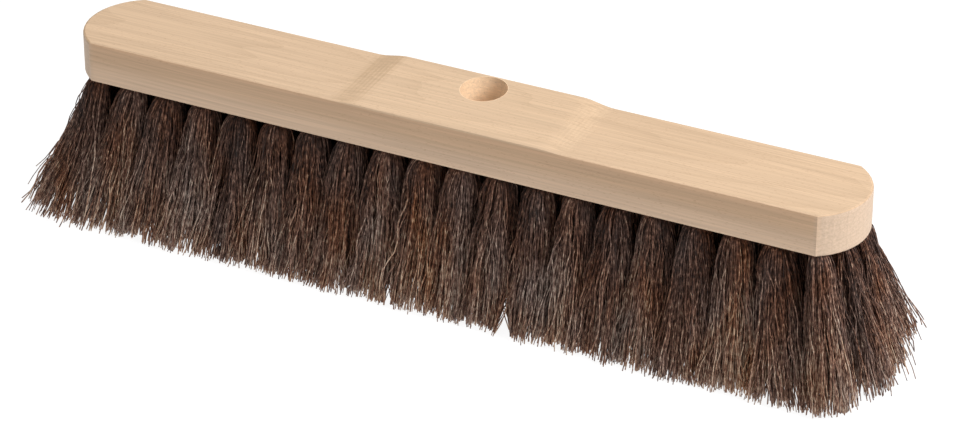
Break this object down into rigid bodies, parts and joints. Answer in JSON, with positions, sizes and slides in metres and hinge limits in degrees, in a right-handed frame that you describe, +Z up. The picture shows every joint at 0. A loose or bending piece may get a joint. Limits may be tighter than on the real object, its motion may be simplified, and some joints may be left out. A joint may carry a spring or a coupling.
{
  "type": "push broom head",
  "caption": "Wooden push broom head with a raised saddle, a slanted round socket for its handle, and rows of dark natural-fibre tufts set in its underside.",
  "frame": {"origin": "under the middle of the block, on the plane of the fibre tips, which is the floor in use", "axes": "+X along the block, +Y to the rear, the way the handle leans, +Z up through the block, away from the fibre tips"},
  "size_m": [0.4336, 0.082, 0.0933],
  "materials": {
    "beech": "bare planed and sanded beech, satin, unvarnished",
    "dark_fibre": "dark brown stiff natural fibre, matt with a slight sheen along each fibre"
  },
  "bodies": {
    "root": {"broom_block": "beech", "front_tuft_01": "dark_fibre", "front_tuft_02": "dark_fibre", "front_tuft_03": "dark_fibre", "front_tuft_04": "dark_fibre", "front_tuft_05": "dark_fibre", "front_tuft_06": "dark_fibre", "front_tuft_07": "dark_fibre", "front_tuft_08": "dark_fibre", "front_tuft_09": "dark_fibre", "front_tuft_10": "dark_fibre", "front_tuft_11": "dark_fibre", "front_tuft_12": "dark_fibre", "front_tuft_13": "dark_fibre", "front_tuft_14": "dark_fibre", "front_tuft_15": "dark_fibre", "front_tuft_16": "dark_fibre", "front_tuft_17": "dark_fibre", "front_tuft_18": "dark_fibre", "front_tuft_19": "dark_fibre", "front_tuft_20": "dark_fibre", "rear_tuft_01": "dark_fibre", "rear_tuft_02": "dark_fibre", "rear_tuft_03": "dark_fibre", "rear_tuft_04": "dark_fibre", "rear_tuft_05": "dark_fibre", "rear_tuft_06": "dark_fibre", "rear_tuft_07": "dark_fibre", "rear_tuft_08": "dark_fibre", "rear_tuft_09": "dark_fibre", "rear_tuft_10": "dark_fibre", "rear_tuft_11": "dark_fibre", "rear_tuft_12": "dark_fibre", "rear_tuft_13": "dark_fibre", "rear_tuft_14": "dark_fibre", "rear_tuft_15": "dark_fibre", "rear_tuft_16": "dark_fibre", "rear_tuft_17": "dark_fibre", "rear_tuft_18": "dark_fibre", "rear_tuft_19": "dark_fibre", "rear_tuft_20": "dark_fibre", "centre_tufts_left_1": "dark_fibre", "centre_tufts_left_2": "dark_fibre", "centre_tufts_left_3": "dark_fibre", "centre_tufts_left_4": "dark_fibre", "centre_tufts_left_5": "dark_fibre", "centre_tufts_left_6": "dark_fibre", "centre_tufts_left_7": "dark_fibre", "centre_tufts_left_8": "dark_fibre", "centre_tufts_right_1": "dark_fibre", "centre_tufts_right_2": "dark_fibre", "centre_tufts_right_3": "dark_fibre", "centre_tufts_right_4": "dark_fibre", "centre_tufts_right_5": "dark_fibre", "centre_tufts_right_6": "dark_fibre", "centre_tufts_right_7": "dark_fibre", "centre_tufts_right_8": "dark_fibre", "end_tufts_left": "dark_fibre", "end_tufts_right": "dark_fibre"}
  },
  "joints": []
}
